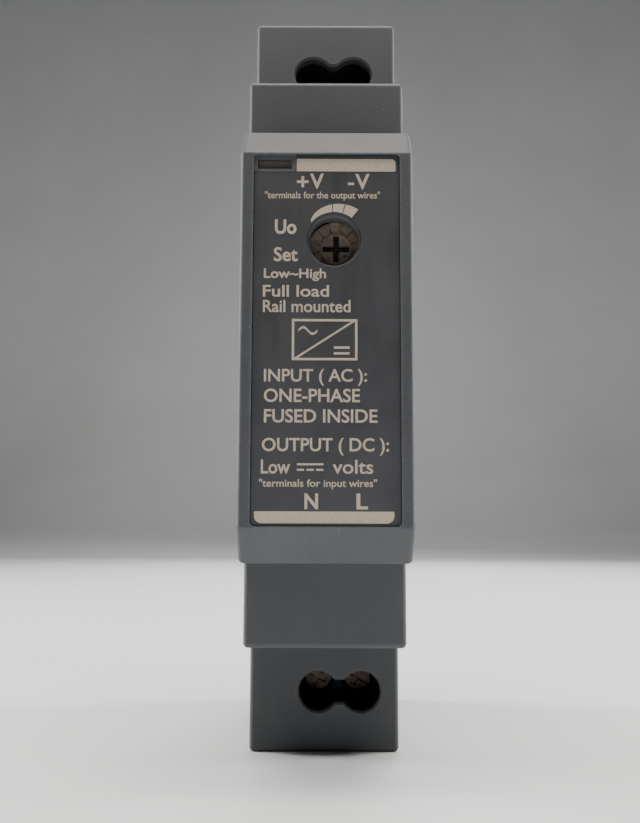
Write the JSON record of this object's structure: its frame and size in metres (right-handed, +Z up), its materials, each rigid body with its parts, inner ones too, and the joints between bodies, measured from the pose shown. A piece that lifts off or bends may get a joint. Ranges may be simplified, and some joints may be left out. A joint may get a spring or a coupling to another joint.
{
  "type": "din rail power supply",
  "caption": "Slim stepped power supply for a 35 mm rail, with output trimmer, status lamp, figure-eight screwdriver openings, clamp terminals and a sprung rail latch.",
  "frame": {"origin": "centre of the rail seat: on the rail's front face, half-way across the width and on the rail's centre line", "axes": "+X across the width to the right seen from the front, +Y towards the rail and the wall behind, +Z up; the front faces -Y"},
  "size_m": [0.0176, 0.0545, 0.09],
  "materials": {
    "case": "moulded, fine texture",
    "label": "printed plate, satin",
    "light_pipe": "smoked, clear",
    "latch": "moulded",
    "spring": "drawn wire",
    "terminal_block": "moulded",
    "clamp": "zinc plated",
    "screw": "yellow zinc plated",
    "contact": "tin plated",
    "board": "solder mask",
    "insulation": "thin film",
    "trimmer_body": "moulded",
    "trimmer_rotor": "moulded, worn",
    "ferrite": "ground ferrite",
    "bobbin": "moulded phenolic",
    "tape": "wrapped tape",
    "enamel_wire": "enamelled copper",
    "can_sleeve": "shrink sleeve",
    "film_box": "moulded box",
    "fuse": "moulded drum",
    "disc_green": "dipped coating",
    "disc_blue": "dipped coating",
    "chip_black": "moulded epoxy",
    "sink": "extruded",
    "lamp": "cast resin"
  },
  "bodies": {
    "case": {"rear_shell": "case", "front_shell": "case", "front_label": "label", "light_pipe": "light_pipe", "latch_spring": "spring", "input_terminal_block": "terminal_block", "output_terminal_block": "terminal_block", "input_contacts": "contact", "output_contacts": "contact", "main_board": "board", "insulating_sheet": "insulation", "transformer_core": "ferrite", "transformer_bobbin": "bobbin", "transformer_winding": "tape", "choke_core": "ferrite", "choke_windings": "enamel_wire", "trimmer_body": "trimmer_body", "bulk_capacitor": "can_sleeve", "output_capacitors": "can_sleeve", "input_fuse": "fuse", "filter_capacitor": "film_box", "inrush_thermistor": "disc_green", "safety_capacitor": "disc_blue", "bridge_rectifier": "chip_black", "switching_controller": "chip_black", "optocoupler": "chip_black", "output_diode": "chip_black", "diode_heat_sink": "sink", "output_inductor_core": "ferrite", "output_inductor_winding": "enamel_wire", "shunt_regulator": "chip_black", "chip_resistors": "chip_black", "status_lamp": "lamp"},
    "rotor": {"trimmer_rotor": "trimmer_rotor"},
    "latch": {"rail_latch": "latch"},
    "neutral_screw_body": {"neutral_screw": "screw"},
    "neutral_clamp_body": {"neutral_clamp": "clamp"},
    "live_screw_body": {"live_screw": "screw"},
    "live_clamp_body": {"live_clamp": "clamp"},
    "positive_screw_body": {"positive_screw": "screw"},
    "positive_clamp_body": {"positive_clamp": "clamp"},
    "negative_screw_body": {"negative_screw": "screw"},
    "negative_clamp_body": {"negative_clamp": "clamp"}
  },
  "joints": [
    {"name": "trimmer_turn", "type": "hinge", "parent": "case", "child": "rotor", "pos_m": [0.001, -0.0465, 0.00964], "axis": [0, 1, 0], "range_deg": [-120, 120]},
    {"name": "latch_slide", "type": "slide", "parent": "case", "child": "latch", "axis": [0, 0, -1], "range_m": [0, 0.0042], "stiffness_N_per_m": 600, "springref_m": -0.003, "deforming": ["latch_spring"]},
    {"name": "neutral_clamp_rise", "type": "slide", "parent": "case", "child": "neutral_clamp_body", "axis": [0, -1, 0], "range_m": [0, 0.0025]},
    {"name": "neutral_screw_turn", "type": "hinge", "parent": "case", "child": "neutral_screw_body", "pos_m": [-0.0007, -0.016, -0.0381], "axis": [0, 1, 0], "range_deg": [0, 1800]},
    {"name": "live_clamp_rise", "type": "slide", "parent": "case", "child": "live_clamp_body", "axis": [0, -1, 0], "range_m": [0, 0.0025]},
    {"name": "live_screw_turn", "type": "hinge", "parent": "case", "child": "live_screw_body", "pos_m": [0.0043, -0.016, -0.0381], "axis": [0, 1, 0], "range_deg": [0, 1800]},
    {"name": "positive_clamp_rise", "type": "slide", "parent": "case", "child": "positive_clamp_body", "axis": [0, -1, 0], "range_m": [0, 0.0025]},
    {"name": "positive_screw_turn", "type": "hinge", "parent": "case", "child": "positive_screw_body", "pos_m": [-0.00155, -0.016, 0.0381], "axis": [0, 1, 0], "range_deg": [0, 1800]},
    {"name": "negative_clamp_rise", "type": "slide", "parent": "case", "child": "negative_clamp_body", "axis": [0, -1, 0], "range_m": [0, 0.0025]},
    {"name": "negative_screw_turn", "type": "hinge", "parent": "case", "child": "negative_screw_body", "pos_m": [0.00345, -0.016, 0.0381], "axis": [0, 1, 0], "range_deg": [0, 1800]}
  ],
  "couplings": [
    {"joint": "neutral_screw_turn", "follows": "neutral_clamp_rise", "rad_per_m": 12566},
    {"joint": "live_screw_turn", "follows": "live_clamp_rise", "rad_per_m": 12566},
    {"joint": "positive_screw_turn", "follows": "positive_clamp_rise", "rad_per_m": 12566},
    {"joint": "negative_screw_turn", "follows": "negative_clamp_rise", "rad_per_m": 12566}
  ]
}
